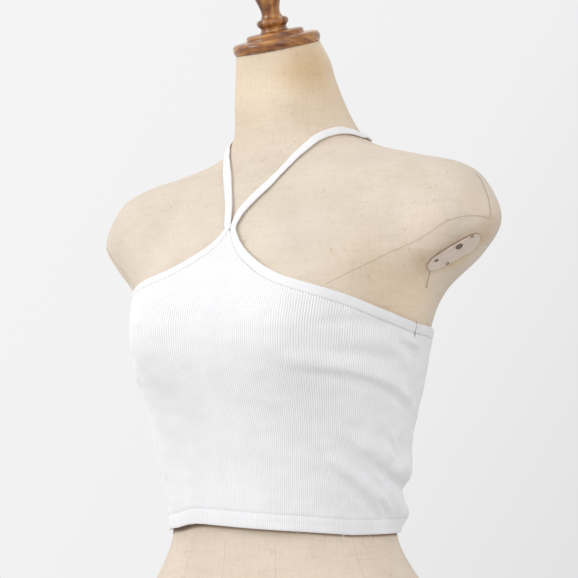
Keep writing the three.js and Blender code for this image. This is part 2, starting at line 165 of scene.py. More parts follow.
def read_smooth(table, place):
    """Catmull-Rom through a table's rows: half of (2b + (c-a)f + (2a-5b+4c-d)f2 + (3b-a-3c+d)f3)."""
    place = np.asarray(place, float)
    first = np.clip(np.floor(place).astype(int), 0, len(table) - 2)
    f = (place - first)[..., None]
    a = table[np.maximum(first - 1, 0)]
    b = table[first]
    c = table[first + 1]
    d = table[np.minimum(first + 2, len(table) - 1)]
    square = (2 * a - 5 * b + 4 * c - d) * f ** 2
    return 0.5 * (2 * b + (c - a) * f + square + (3 * b - a - 3 * c + d) * f ** 3)


def unit(vectors):
    return vectors / np.linalg.norm(vectors, axis=-1, keepdims=True)


def ring_turns(sides):
    """Even turns in radians round a ring."""
    return np.linspace(0, 2 * np.pi, sides, endpoint=False)


def front_turn(angle):
    """The same angle between -180 and 180."""
    return (angle + 180) % 360 - 180


def form_surface(angle, level):
    """A superellipse at each level, plus two bell-shaped mounds at the bust, leaned by the tilt."""
    angle, level = np.broadcast_arrays(np.asarray(angle, float), np.asarray(level, float))
    row = read_smooth(FORM_SECTIONS, np.clip(level, 0, TOP_LEVEL))
    height, half, middle, front, back, power, tilt = np.moveaxis(row, -1, 0)
    turn = np.radians(angle)
    east = WIDER * np.sin(turn)
    north = -np.cos(turn)
    length = np.hypot(east, north)
    east = east / length
    north = north / length
    depth = np.where(north < 0, front, back)
    radius = (np.abs(east / half) ** power + np.abs(north / depth) ** power) ** (-1 / power)
    x = radius * east
    y = radius * north
    tall = np.where(height > BUST["height"], BUST["up"], BUST["down"])
    rise = ((height - BUST["height"]) / tall) ** 2
    ahead = np.sqrt(np.clip(-north, 0, 1)) * (north < 0)
    for side in (-1, 1):
        aside = ((x - side * BUST["side"]) / BUST["wide"]) ** 2
        mound = BUST["out"] * np.exp(-aside - rise) * ahead
        x = x + BUST["spread"] * side * mound
        y = y - mound
    lean = np.radians(tilt)
    return np.stack([x, middle + y * np.cos(lean), height + y * np.sin(lean)], -1)


def form_frame(angle, level):
    """Surface steps for one degree and one level, by central differences, and the normal."""
    turn = 0.5
    rise = 0.02
    low = np.maximum(level - rise, 0)
    high = np.minimum(level + rise, TOP_LEVEL)
    around = (form_surface(angle + turn, level) - form_surface(angle - turn, level)) / (2 * turn)
    upward = form_surface(angle, high) - form_surface(angle, low)
    upward = upward / np.asarray(high - low)[..., None]
    return around, upward, unit(np.cross(around, upward))


def fold_lift(rows, angle, height, reach=1.6, power=4):
    """Sum of bell-shaped ridges along sagging lines, each fading out towards both its ends."""
    lift = np.zeros(np.shape(height))
    for start, low, end, high, sag, out, half in rows:
        span = end - start
        place = (angle - start) % 360
        share = np.where(place > 180 + span / 2, place - 360, place) / span
        line = low + (high - low) * share + 4 * sag * share * (1 - share)
        ends = 1 - np.minimum(1, np.abs(2 * share - 1) / reach) ** power
        bell = out * ends * np.exp(-((height - line) / half) ** 2)
        lift = lift + np.where((share < -0.3) | (share > 1.3), 0, bell)
    return lift


# Slight unevenness: waves round the body, waves up it, phase, height
RUMPLES = np.array([
    [0.21, 0.11, 0.4, 0.12], [0.33, -0.17, 1.9, 0.1], [0.12, 0.29, 3.1, 0.12],
    [0.47, 0.23, 0.8, 0.07], [-0.26, 0.41, 2.2, 0.07], [0.07, 0.53, 5.1, 0.05],
])


def rumple(angle, height):
    """Crossing waves of a tenth of a millimetre, stronger at the sides and back than in front."""
    waves = sum(out * np.sin(turn * angle + rise * height + phase)
                for turn, rise, phase, out in RUMPLES)
    return waves * (0.5 + np.clip(np.abs(angle) / 60, 0, 1.4))


def cloth_room(angle, level):
    """How far the cloth's inner face stands off the form.

    It is the sum of a clearance, a bridge between the bust's mounds, slack at the hem and
    behind the waist, the folds, the creases with their ridges, and a slight unevenness.
    """
    place = front_turn(np.asarray(angle, float))
    point = form_surface(place, level)
    x = point[..., 0]
    height = point[..., 2]
    facing = np.clip(np.cos(np.radians(place)), 0, 1) ** 2
    cups = np.exp(-(x / BRIDGE["wide"]) ** 2 - ((height - BRIDGE["height"]) / BRIDGE["tall"]) ** 2)
    bust = 0.4 * np.exp(-((height - BUST["height"]) / BUST["up"]) ** 2) * (np.abs(place) < 90)
    near_hem = np.clip((HEM_ROOM["from"] - height) / HEM_ROOM["over"], 0, 1) ** 2
    behind = np.clip((np.abs(place) - 80) / 50, 0, 1)
    waist = np.exp(-((height - BACK_ROOM["height"]) / BACK_ROOM["tall"]) ** 2)
    room = CLEARANCE + BRIDGE["out"] * cups * facing + bust
    room = room + near_hem * (HEM_ROOM["round"] + HEM_ROOM["front"] * facing ** 2)
    room = room + BACK_ROOM["out"] * behind * waist
    above = CREASES[:, 6] * CREASE_RIDGE["above"]
    ridges = CREASES.copy()
    ridges[:, 1] += above
    ridges[:, 3] += above
    ridges[:, 5] *= -CREASE_RIDGE["high"]
    ridges[:, 6] *= CREASE_RIDGE["wide"]
    folds = fold_lift(FOLDS, place, height)
    folds = folds + sum(fold_lift(rows, place, height, 1.1, 2) for rows in (CREASES, ridges))
    folds = folds + rumple(place, height)
    # A smooth lower bound: the root of the square and a small softness, halved
    least = 0.35
    softness = 0.16
    over = room + folds - least
    return least + 0.5 * (over + np.sqrt(over ** 2 + softness))


def cloth_surface(angle, level, lift):
    """The form's surface moved out along its normal by the cloth's room and a lift."""
    normal = form_frame(angle, level)[2]
    out = cloth_room(angle, level) + lift
    return form_surface(angle, level) + normal * out[..., None]


# Mesh making

def mesh_object(name, points, triangles, uv=None, smooth=True):
    """One object from points in millimetres and triangles, turned so that its volume is above 0."""
    points = np.asarray(points, float).reshape(-1, 3)
    triangles = np.asarray(triangles, np.int32).reshape(-1, 3)
    corner = points[triangles]
    volume = np.einsum("ij,ij->i", corner[:, 0], np.cross(corner[:, 1], corner[:, 2])).sum()
    if volume < 0:
        triangles = triangles[:, ::-1]
    mesh = bpy.data.meshes.new(name)
    mesh.vertices.add(len(points))
    mesh.vertices.foreach_set("co", (points * MM).ravel())
    mesh.loops.add(triangles.size)
    mesh.loops.foreach_set("vertex_index", np.ascontiguousarray(triangles).ravel())
    mesh.polygons.add(len(triangles))
    mesh.polygons.foreach_set("loop_start", np.arange(0, triangles.size, 3, dtype=np.int32))
    if uv is not None:
        layer = mesh.uv_layers.new(name="cloth")
        layer.data.foreach_set("uv", np.asarray(uv)[triangles.ravel()].ravel().astype(np.float32))
    mesh.update(calc_edges=True)
    mesh.polygons.foreach_set("use_smooth", np.full(len(triangles), smooth))
    made = bpy.data.objects.new(name, mesh)
    scene.collection.objects.link(made)
    return made


def grid_triangles(rows, columns, first=0, wrap=False):
    """Two triangles for each cell of a grid of points numbered row by row."""
    count = columns if wrap else columns - 1
    row, column = np.meshgrid(np.arange(rows - 1), np.arange(count), indexing="ij")
    a = first + row * columns + column
    b = first + row * columns + (column + 1) % columns
    pair = np.stack([a, b, b + columns, a, b + columns, a + columns], -1)
    return pair.reshape(-1, 3)


def closed_tubes(name, rings):
    """Many tubes of equal point counts as one object, with a flat fan over each of their ends."""
    count, rows, sides = rings.shape[:3]
    last = (rows - 1) * sides
    cell = np.arange(1, sides - 1)
    start = np.stack([0 * cell, cell + 1, cell], -1)
    end = np.stack([last + 0 * cell, last + cell, last + cell + 1], -1)
    one = np.concatenate([grid_triangles(rows, sides, wrap=True), start, end])
    first = np.arange(count) * rows * sides
    return mesh_object(name, rings, one[None, :, :] + first[:, None, None])


def loft(name, rings, uv=None):
    """Rings of equal count joined in turn, with a fan round the middle of each end."""
    rings = np.asarray(rings, float)
    rows, columns = rings.shape[:2]
    points = np.concatenate([rings.reshape(-1, 3), rings[[0, -1]].mean(1)])
    side = np.arange(columns)
    after = (side + 1) % columns
    last = (rows - 1) * columns
    hub = rows * columns
    start = np.stack([np.full(columns, hub), after, side], -1)
    end = np.stack([np.full(columns, hub + 1), last + side, last + after], -1)
    triangles = np.concatenate([grid_triangles(rows, columns, wrap=True), start, end])
    if uv is not None:
        uv = np.concatenate([uv.reshape(-1, 2), uv[[0, -1]].mean(1)])
    return mesh_object(name, points, triangles, uv)


def lathe(name, profile, steps, sides, middle, tilt, lift):
    """A smooth profile of radius and height turned about an axis that leans forward by tilt."""
    rows = read_smooth(np.array(profile, float), np.linspace(0, len(profile) - 1, steps))
    turn = ring_turns(sides)
    radius = np.maximum(rows[:, :1], 0.02)
    flat = np.stack([radius * np.cos(turn), radius * np.sin(turn)], -1)
    up = rows[:, 1:2] + lift + 0 * turn
    lean = np.radians(tilt)
    x = flat[..., 0]
    y = middle[0] + flat[..., 1] * np.cos(lean) - up * np.sin(lean)
    z = middle[1] + flat[..., 1] * np.sin(lean) + up * np.cos(lean)
    return loft(name, np.stack([x, y, z], -1))


# The cloth's panels

def stations_of(rows, steps):
    """A table's rows made finer: a number of smooth steps for each row."""
    return read_smooth(rows, np.linspace(0, len(rows) - 1, (len(rows) - 1) * steps + 1))


def strap_levels(side):
    return STRAP_ROWS[:, 1] if side > 0 else STRAP_ROWS[:, 2]


def strap_stations(side, steps):
    """Angle, level and width along one strip; side is 1 on the wearer's left and -1 on the right."""
    rows = np.stack([side * STRAP_ROWS[:, 0], strap_levels(side), STRAP_ROWS[:, 3]], -1)
    stations = stations_of(rows, steps)
    fade = np.clip(1 - np.abs(stations[:, 0]) / 60, 0, 1)
    stations[:, 0] += Y_OFFSET * fade
    return stations


def beside(stations, distance):
    """The places a distance to the left of a strip's run, solved in the surface's own steps."""
    angle = stations[:, 0]
    level = stations[:, 1]
    around, upward, normal = form_frame(angle, level)
    middle = form_surface(angle, level)
    run = np.gradient(middle, axis=0)
    side = unit(np.cross(normal, run)) * np.asarray(distance)[..., None]
    aa = (around * around).sum(-1)
    ab = (around * upward).sum(-1)
    bb = (upward * upward).sum(-1)
    sa = (side * around).sum(-1)
    sb = (side * upward).sum(-1)
    scale = 1 / (aa * bb - ab * ab)
    return angle + (sa * bb - sb * ab) * scale, level + (sb * aa - sa * ab) * scale


def armhole_edges():
    """The front panel's top edge as one table of angle and level, from side seam to side seam."""
    steps = 8
    parts = []
    for side in (-1, 1):
        stations = strap_stations(side, steps)
        angle, level = beside(stations, side * (stations[:, 2] / 2 + SEAM_GAP))
        part = np.stack([angle, level], -1)[: Y_ROW * steps]
        parts.append(part if side < 0 else part[::-1])
    edge = np.concatenate(parts)
    highest = np.maximum.accumulate(np.concatenate([[-999.0], edge[:-1, 0]]))
    return edge[edge[:, 0] > highest]


def panel_level(row, rows, low, high):
    """Rows up a panel: three close ones round the hem's edge, the hem, its line, then even rows."""
    hem_rows = np.array([0, 0.01, 0.03, 0.1, 0.19, 0.27, 0.285, HEM_LINE, 0.301, 0.312])
    fine = len(hem_rows)
    row = np.asarray(row)
    start = low + hem_rows[-1]
    share = np.clip((row - fine + 1) / (rows - fine + 1), 0, 1)
    return np.where(row < fine, low + hem_rows[np.minimum(row, fine - 1)],
                    start + (high - start) * share)


def hem_edge(angle):
    """The level of the hem's edge at an angle."""
    return np.interp(front_turn(angle), HEM_LEVELS[:, 0], HEM_LEVELS[:, 1])


def hem_lift(row):
    """The turned hem is thicker, rounded at its edge and pulled in at its line of stitches."""
    edge = np.array([-0.75, -0.3, 0, 0, 0, 0, -0.35, -0.75, -0.6, -0.2])
    extra = np.array([1, 1, 1, 1, 1, 1, 0.9, 0.6, 0.2, 0])
    row = np.asarray(row)
    at = np.minimum(row, len(edge) - 1)
    return np.where(row < len(edge), edge[at] + HEM_EXTRA * extra[at], 0)


def side_seam(rise):
    """The side seam's angle, from the hem's line to the armhole."""
    return SIDE_SEAM_LOW + (SIDE_SEAM_HIGH - SIDE_SEAM_LOW) * rise


def ribbed_panel(name, ribs, rows, reach_of, top_of, start):
    """A wall whose outer face is raised in rounded ribs; its inner face is plain and coarser."""
    per_rib = 4
    ratio = 8
    columns = ribs * per_rib
    row = np.arange(rows + 1)[:, None]
    share = np.linspace(0, 1, columns + 1)[None, :]
    last_hem_row = 9
    rise = np.clip((row - last_hem_row) / (rows - last_hem_row), 0, 1)
    angle = reach_of(rise, share)
    level = panel_level(row, rows, hem_edge(angle), top_of(angle))
    phase = np.arange(columns + 1) / per_rib
    rib = RIB_HEIGHT * np.abs(np.sin(np.pi * phase)) ** 0.8
    soft_edge = np.interp(np.arange(columns + 1), [0, 6, columns - 6, columns], [0.8, 1, 1, 0.8])
    lift = (WALL + rib[None, :] + hem_lift(row)) * soft_edge[None, :]
    outer = cloth_surface(angle, level, lift)
    inner = cloth_surface(angle[:, ::ratio], level[:, ::ratio], 0 * lift[:, ::ratio])
    inner_columns = columns // ratio + 1
    first = outer.shape[0] * outer.shape[1]
    faces = [
        grid_triangles(rows + 1, columns + 1),
        grid_triangles(rows + 1, inner_columns, first)[:, ::-1],
    ]
    step = np.arange(columns)
    mate = (step + ratio // 2) // ratio
    cell = np.arange(inner_columns - 1)
    for at, flip in ((0, False), (rows, True)):
        rim = at * (columns + 1)
        lining = first + at * inner_columns
        fan = np.stack([rim + step + 1, rim + step, lining + mate], -1)
        tip = rim + cell * ratio + ratio // 2
        middle = np.stack([tip, lining + cell, lining + cell + 1], -1)
        faces += [fan[:, ::-1], middle[:, ::-1]] if flip else [fan, middle]
    down = np.arange(rows)
    for column, inner_column, flip in ((0, 0, False), (columns, inner_columns - 1, True)):
        a = down * (columns + 1) + column
        b = a + columns + 1
        c = first + down * inner_columns + inner_column
        d = c + inner_columns
        wall = np.concatenate([np.stack([a, b, d], -1), np.stack([a, d, c], -1)])
        faces.append(wall[:, ::-1] if flip else wall)
    height = outer[..., 2]
    uv_outer = np.stack([(start + phase[None, :]) * RIB_PITCH + 0 * height, height], -1)
    uv = np.concatenate([uv_outer.reshape(-1, 2), uv_outer[:, ::ratio].reshape(-1, 2)])
    points = np.concatenate([outer.reshape(-1, 3), inner.reshape(-1, 3)])
    return mesh_object(name, points, np.concatenate(faces), uv)


def front_panel():
    """The front: side seam to side seam, from the hem up to the edge beside both straps."""
    edge = armhole_edges()

    def reach_of(rise, share):
        return (side_seam(rise) - SEAM_HALF) * (2 * share - 1)

    def top_of(angle):
        return np.minimum(np.interp(angle, edge[:, 0], edge[:, 1]), Y_APEX_LEVEL)

    return ribbed_panel("front_panel_knit", 200, 100, reach_of, top_of, 0)


def back_panel():
    """The back: left side seam round to the right one, up to the edge under its binding."""
    stations = stations_of(BACK_BINDING, 10)
    angles, levels = beside(stations, -(stations[:, 2] / 2 + SEAM_GAP))

    def reach_of(rise, share):
        reach = side_seam(rise) + SEAM_HALF
        return reach + (360 - 2 * reach) * share

    def top_of(angle):
        return np.interp(angle, angles, levels)

    return ribbed_panel("back_panel_knit", 176, 84, reach_of, top_of, 0.5)


# Straps and bindings

def strip_section(points):
    """A flat tape with round edges: a squashed ring, flat below, domed above."""
    turn = ring_turns(points) + np.pi / points
    across = np.sign(np.cos(turn)) * np.abs(np.cos(turn)) ** 0.55
    up = 0.5 + 0.5 * np.sign(np.sin(turn)) * np.abs(np.sin(turn)) ** 0.6
    return across, up


def strip(name, stations, limit):
    """A tape on the cloth: its section's points set beside the stations and lifted off the form."""
    across, up = strip_section(18)
    angle = []
    level = []
    for part in across:
        turned, raised = beside(stations, part * stations[:, 2] / 2)
        angle.append(turned)
        level.append(raised)
    angle = limit(np.stack(angle, -1))
    level = np.stack(level, -1)
    length = path_length(form_surface(stations[:, 0], stations[:, 1]))
    rings = cloth_surface(angle, level, up[None, :] * STRIP_THICKNESS)
    uv = np.stack([across[None, :] * stations[:, 2:3] / 2, length[:, None] + 0 * angle], -1)
    return loft(name, rings, uv)


def path_length(points):
    """The distance travelled along a path at each of its points."""
    step = np.linalg.norm(np.diff(points, axis=0), axis=-1)
    return np.concatenate([[0], np.cumsum(step)])


def strap_limit(side):
    """Keeps a strap on its own side of the Y and of the nape."""
    least = 0.05

    def limit(angle):
        from_y = side * (angle - Y_OFFSET)
        held = np.where(from_y < least, Y_OFFSET + side * least, angle)
        return side * np.minimum(side * held, 180 - least)

    return limit


def strap(name, side):
    return strip(name, strap_stations(side, 12), strap_limit(side))


def back_binding():
    return strip("back_binding_tape", stations_of(BACK_BINDING, 24), lambda angle: angle)


# Stitches and threads

def bead_row(name, middles, runs, normals, length, width, height):
    """Many small thread beads: each a six sided ellipsoid laid along the seam's run."""
    turn = ring_turns(6)
    along = np.array([-0.5, -0.38, 0, 0.38, 0.5])
    girth = np.array([0.15, 0.75, 1, 0.75, 0.15])
    across = unit(np.cross(normals, runs))
    wide = girth[:, None] * np.cos(turn) * width / 2
    high = girth[:, None] * np.sin(turn) * height / 2
    ring = (middles[:, None, None, :]
            + runs[:, None, None, :] * (along * length)[None, :, None, None]
            + across[:, None, None, :] * wide[None, ..., None]
            + normals[:, None, None, :] * high[None, ..., None])
    return closed_tubes(name, ring)


def stitch_line(name, angle, level, lift, pitch, length, width, height):
    """Stitches spaced evenly along a line given by angles and levels on the cloth."""
    line = cloth_surface(angle, level, lift + 0 * angle)
    travelled = path_length(line)
    count = int(travelled[-1] // pitch)
    where = (np.arange(count) + 0.5) * pitch
    at, ahead, behind = (
        np.stack([np.interp(where + shift, travelled, line[:, axis]) for axis in range(3)], -1)
        for shift in (0, 0.4, -0.4))
    run = unit(ahead - behind)
    turned = np.interp(where, travelled, angle)
    raised = np.interp(where, travelled, level)
    normal = form_frame(turned, raised)[2]
    normal = unit(normal - run * (normal * run).sum(-1, keepdims=True))
    return bead_row(name, at, run, normal, length, width, height)


def tubes(name, paths, radius):
    """Round threads of equal point count: six points round each place of every path."""
    paths = np.array(paths)
    turn = ring_turns(6)
    # A direction that none of the threads runs along
    aslant = [0.31, 0.22, 0.93]
    run = unit(np.gradient(paths, axis=1))
    across = unit(np.cross(run, aslant))
    other = np.cross(run, across)
    ring = (paths[:, :, None, :]
            + across[:, :, None, :] * (radius * np.cos(turn))[:, None]
            + other[:, :, None, :] * (radius * np.sin(turn))[:, None])
    return closed_tubes(name, ring)


def loose_threads(name, rows):
    """Thread ends that hang from the cloth, curving down by a line less a half wave of sine.

    Each row says angle, level, length (below zero where it stands up), sweep to the side, bulge.
    """
    paths = []
    for angle, level, length, sweep, bulge in rows:
        share = np.linspace(0, 1, 14)
        start = cloth_surface(np.array([angle]), np.array([level]), np.array([1.2]))[0]
        around, _, normal = form_frame(np.array([angle]), np.array([level]))
        along = around[0] / np.linalg.norm(around[0])
        fall = length * share - bulge * np.sin(3 * share)
        path = start + along * (sweep * share)[:, None] + normal[0] * (0.8 * share ** 2)[:, None]
        paths.append(path + np.array([0, 0, -1]) * fall[:, None])
    return tubes(name, paths, 0.13)


def bar_tacks(name):
    """The dark closing stitches where each strap meets the back's binding."""
    paths = []
    for side in (1, -1):
        levels = strap_levels(side)[0] - 0.02 + np.linspace(-0.15, 0.15, 14)
        angles = np.full(14, side * STRAP_ROWS[0, 0])
        paths.append(cloth_surface(angles, levels, 1.9 + 0 * levels))
    return tubes(name, paths, 0.3)


def hem_stitches(name, start, end, count):
    """Stitches along the hem's line between two angles."""
    angle = np.linspace(start, end, count)
    sunk = 0.15
    return stitch_line(name, angle, hem_edge(angle) + HEM_LINE, WALL + RIB_HEIGHT - sunk,
                       pitch=2.8, length=2.1, width=0.5, height=0.45)


def strip_stitches(name, stations, side, limit):
    """Stitches along one side of a tape, most of the way out to its edge."""
    angle, level = beside(stations, side * STITCH_SHARE * stations[:, 2] / 2)
    sunk = 0.93
    return stitch_line(name, limit(angle), level, STRIP_THICKNESS * sunk,
                       pitch=2.6, length=1.9, width=0.42, height=0.4)


# The dress form

# The arm plate: its middle's place, half length, half width and slant, then its dent: how far
# in, how far out its bank lies in plate widths, and how far it reaches along the normal
PLATE = {"angle": 85.8, "level": 9.77, "long": 27, "short": 12.2, "turn": 52,
         "dent": 6.5, "bank": 1.45, "deep": 40}


def plate_axes(side):
    """The surface at an arm plate's middle.

    It gives the middle's angle, unit steps round and up the surface, the steps of one degree
    and one level, and the normal.
    """
    middle = side * PLATE["angle"]
    around, upward, normal = form_frame(np.array([middle]), np.array([PLATE["level"]]))
    flat = around[0] / np.linalg.norm(around[0])
    steep = np.cross(normal[0], flat)
    return middle, flat, steep, around[0], upward[0], normal[0]


def plate_distance(side, points):
    """Elliptic distance of points from the middle of an arm plate: 1 at the plate's edge."""
    middle, flat, steep, _, _, normal = plate_axes(side)
    centre = form_surface(np.array([middle]), np.array([PLATE["level"]]))[0]
    slant = np.radians(side * PLATE["turn"])
    along = flat * np.cos(slant) + steep * np.sin(slant)
    across = -flat * np.sin(slant) + steep * np.cos(slant)
    offset = points - centre
    long = (offset @ along) / PLATE["long"]
    short = (offset @ across) / PLATE["short"]
    depth = (offset @ normal) / PLATE["deep"]
    return np.sqrt(long ** 2 + short ** 2 + depth ** 2)


def plate_dent(near):
    """Depth of the hollow round a plate: whole under the plate, then a smooth bank."""
    return PLATE["dent"] / (1 + (near / PLATE["bank"]) ** 5)


def dress_form():
    """The form's own surface on a fine grid, with a shallow dent round each arm plate.

    Two attributes are kept for its linen, and both paint shade into it: how near a point is to a
    dent's bank, for painted shade round each arm plate, and how far it lies in the band under the
    hem and just below its edge, for the hem's painted shadow.
    """
    sides = 288
    fine = np.concatenate([[0, 0.02, 0.06, 0.12], np.linspace(0.2, 3.96, 48),
                           np.arange(4, 4.44, 0.013), np.linspace(4.5, TOP_LEVEL, 178)])
    angle = np.arange(sides) * 360 / sides
    points = form_surface(angle[None, :], fine[:, None])
    normal = form_frame(angle[None, :] + 0 * fine[:, None], fine[:, None] + 0 * angle[None, :])[2]
    pull = np.array([3.0, 1.4, 0.5, 0.1])
    points[:4] -= normal[:4] * [1, 1, 0] * pull[:, None, None]
    # Painted shadow: the band under the hem and a few millimetres below its edge, darkened in the
    # linen's colour where the hem's shadow falls
    over_edge = points[..., 2] - form_surface(angle, hem_edge(angle))[None, :, 2]
    below = 4.6 - 1.8 * np.clip((front_turn(angle) + 20) / 60, 0, 1)
    fade = 3
    above = 10
    painted_hem_shadow = np.clip((over_edge + below) / fade, 0, 1) * (over_edge < above)
    hollow = np.zeros(points.shape[:2])
    for side in (-1, 1):
        near = plate_distance(side, points)
        points = points - normal * plate_dent(near)[..., None]
        # Painted shade: a ring on the bank round each plate's dent, moved 8 mm up onto the bank's
        # upper side, where shade falls
        raised = plate_distance(side, points - np.array([0, 0, 8]))
        hollow += np.exp(-((raised - 1.15) / 0.55) ** 2)
    form = loft("linen_form", points)
    for name, values in (("hollow", hollow), ("painted_hem_shadow", painted_hem_shadow)):
        shade = form.data.attributes.new(name, "FLOAT", "POINT")
        shade.data.foreach_set("value", np.append(values.ravel(), [0, 0]).astype(np.float32))
    return form


def arm_plate(name, side):
    """An oval plate laid in the dent, with a rounded rim and a low domed middle."""
    share = np.array([0.02, 0.5, 0.9, 1, 1.02, 1, 0.96, 0.9, 0.8, 0.6, 0.35, 0.02])
    lift = np.array([0.2, 0.2, 0.2, 0.3, 1, 1.7, 2.1, 2, 1.8, 1.8, 2, 2.1])
    turn = ring_turns(72)
    long = share[:, None] * PLATE["long"] * squarer(np.cos(turn))
    short = share[:, None] * PLATE["short"] * squarer(np.sin(turn))
    return loft(name, plate_point(side, long, short, lift[:, None]))


def squarer(wave):
    """Turns an oval's cosine or sine into a squarer superellipse's."""
    return np.sign(wave) * np.abs(wave) ** 0.75


def plate_point(side, long, short, lift):
    """A point of the arm plate: along it, across it and out from the dent's floor."""
    middle, flat, steep, around, upward, _ = plate_axes(side)
    slant = np.radians(side * PLATE["turn"])
    sideways = long * np.cos(slant) - short * np.sin(slant)
    up = long * np.sin(slant) + short * np.cos(slant)
    rise = up / (upward @ steep)
    angle = middle + (sideways - rise * (upward @ flat)) / np.linalg.norm(around)
    level = PLATE["level"] + rise
    point = form_surface(angle, level)
    normal = form_frame(angle, level)[2]
    near = plate_distance(side, point)
    gap = 0.3
    return point + normal * (lift - plate_dent(near) + gap)[..., None]


def screw_heads(name, side):
    """Countersunk screws and the plate's middle hole, as small dark dished discs; the middle hole's
    disc is painted shade for the dark inside of the hole.
    """
    # The third spot, the widest, is the middle hole: a dark disc painted for the shade inside it
    spots = np.array([[-18.5, 4.3, 1.7], [-9.2, -10.3, 1.5], [4, 6.3, 3.6], [19.3, 9.5, 1.6]])
    turn = ring_turns(20)
    share = np.array([1, 1.04, 0.9, 0.45, 0.02])
    lift = np.array([1.7, 2.25, 2.3, 1.95, 1.9])
    discs = [plate_point(side, long + share[:, None] * radius * np.cos(turn),
                         side * short + share[:, None] * radius * np.sin(turn), lift[:, None])
             for long, short, radius in spots]
    return closed_tubes(name, np.array(discs))


def form_seam(name, places, radius):
    """A fine sewn ridge on the linen along places given by angle and level."""
    rows = np.array(places, float)
    path = read_smooth(rows, np.linspace(0, len(rows) - 1, 24 * (len(rows) - 1)))
    middle = form_surface(path[:, 0], path[:, 1])
    normal = form_frame(path[:, 0], path[:, 1])[2]
    run = unit(np.gradient(middle, axis=0))
    across = np.cross(normal, run)
    turn = ring_turns(8)
    ring = (middle[:, None, :]
            + across[:, None, :] * (np.cos(turn) * radius)[None, :, None]
            + normal[:, None, :] * (np.sin(turn) * radius * 0.6 - 0.05)[None, :, None])
    return loft(name, ring)


# Materials

def new_material(name, settings):
    """A material with its tree, its shader and the piece's own coordinates."""
    made = bpy.data.materials.new(name)
    made.use_nodes = True
    shader = made.node_tree.nodes["Principled BSDF"]
    for socket, value in settings.items():
        shader.inputs[socket].default_value = value
    place = put(made.node_tree, "ShaderNodeTexCoord").outputs["Object"]
    return made, made.node_tree, shader, place


def put(tree, kind, **values):
    """A new node, with each value set on the socket or the property of that name."""
    node = tree.nodes.new(kind)
    for key, value in values.items():
        if key in node.inputs:
            node.inputs[key].default_value = value
        else:
            setattr(node, key, value)
    return node


def stretched_noise(tree, source, stretch, scale, detail=3.0):
    """Noise on coordinates scaled by stretch, so that its marks run long on one axis."""
    mapping = put(tree, "ShaderNodeMapping")
    mapping.inputs["Scale"].default_value = stretch
    noise = put(tree, "ShaderNodeTexNoise", Scale=scale, Detail=detail)
    tree.links.new(source, mapping.inputs["Vector"])
    tree.links.new(mapping.outputs["Vector"], noise.inputs["Vector"])
    return noise.outputs["Fac"]


def ramp(tree, source, stops):
    """A colour ramp through stops of place and colour."""
    node = put(tree, "ShaderNodeValToRGB")
    while len(node.color_ramp.elements) < len(stops):
        node.color_ramp.elements.new(0.5)
    for element, (place, colour) in zip(node.color_ramp.elements, stops):
        element.position = place
        element.color = (*colour, 1)
    tree.links.new(source, node.inputs["Fac"])
    return node.outputs["Color"]


def tint(tree, share, first, second):
    """The first colour multiplied by a share of the second."""
    node = put(tree, "ShaderNodeMix", data_type="RGBA", blend_type="MULTIPLY")
    node.inputs["Factor"].default_value = share
    tree.links.new(first, node.inputs["A"])
    tree.links.new(second, node.inputs["B"])
    return node.outputs["Result"]


def blend_math(tree, operation, first, second):
    node = put(tree, "ShaderNodeMath", operation=operation)
    for socket, value in zip(node.inputs, (first, second)):
        if isinstance(value, (int, float)):
            socket.default_value = value
        else:
            tree.links.new(value, socket)
    return node.outputs["Value"]


def add_bump(tree, shader, source, strength, distance):
    node = put(tree, "ShaderNodeBump", Strength=strength, Distance=distance)
    tree.links.new(source, node.inputs["Height"])
    tree.links.new(node.outputs["Normal"], shader.inputs["Normal"])


KNIT_COLOUR = (0.9, 0.902, 0.915)
TAPE_COLOUR = (0.855, 0.857, 0.868)


def knit_material(name, course, wale, groove_shade_share, light):
    """White cotton knit: small V stitches in rows, faint unevenness, a soft sheen, and painted shade
    along the dips between stitch rows and in the grooves between the ribs.
    """
    made, tree, shader, place = new_material(name, {
        "Roughness": 0.92, "Sheen Weight": 0.25, "Sheen Roughness": 0.6,
        "Specular IOR Level": 0.2})
    uv = put(tree, "ShaderNodeUVMap", uv_map="cloth").outputs["UV"]
    split = put(tree, "ShaderNodeSeparateXYZ")
    tree.links.new(uv, split.inputs["Vector"])
    across = blend_math(tree, "MULTIPLY", split.outputs["X"], math.pi / wale)
    slope = blend_math(tree, "ABSOLUTE", blend_math(tree, "SINE", across, 0), 0)
    lifted = blend_math(tree, "MULTIPLY", slope, 0.6 * course)
    along = blend_math(tree, "ADD", split.outputs["Y"], lifted)
    rows = blend_math(tree, "SINE", blend_math(tree, "MULTIPLY", along, 2 * math.pi / course), 0)
    fuzz = stretched_noise(tree, place, (1, 1, 1), 900, 4)
    uneven = stretched_noise(tree, place, (1, 1, 0.4), 60, 3)
    relief = blend_math(tree, "ADD", blend_math(tree, "MULTIPLY", rows, 0.5), fuzz)
    add_bump(tree, shader, relief, 0.22, 0.0002)
    shaded = tuple(0.965 * part for part in light)
    tone = ramp(tree, uneven, [(0.3, shaded), (0.7, light)])
    # Painted shade: a little darker along the dips between stitch rows and much darker in the
    # grooves between the ribs
    deep = ramp(tree, rows, [(0.0, (0.96, 0.96, 0.965)), (0.6, (1, 1, 1))])
    colour = tint(tree, 0.4, tone, deep)
    painted_groove_shade = ramp(tree, slope, [(0.05, (0.62, 0.63, 0.66)), (0.6, (1, 1, 1))])
    colour = tint(tree, groove_shade_share, colour, painted_groove_shade)
    tree.links.new(colour, shader.inputs["Base Color"])
    return made


def thread_material(name, dark, light):
    """Twisted sewing thread."""
    made, tree, shader, place = new_material(name, {"Roughness": 0.7})
    twist = stretched_noise(tree, place, (1, 1, 1), 2500, 2)
    colour = ramp(tree, twist, [(0.3, dark), (0.7, light)])
    tree.links.new(colour, shader.inputs["Base Color"])
    add_bump(tree, shader, twist, 0.3, 0.0001)
    return made
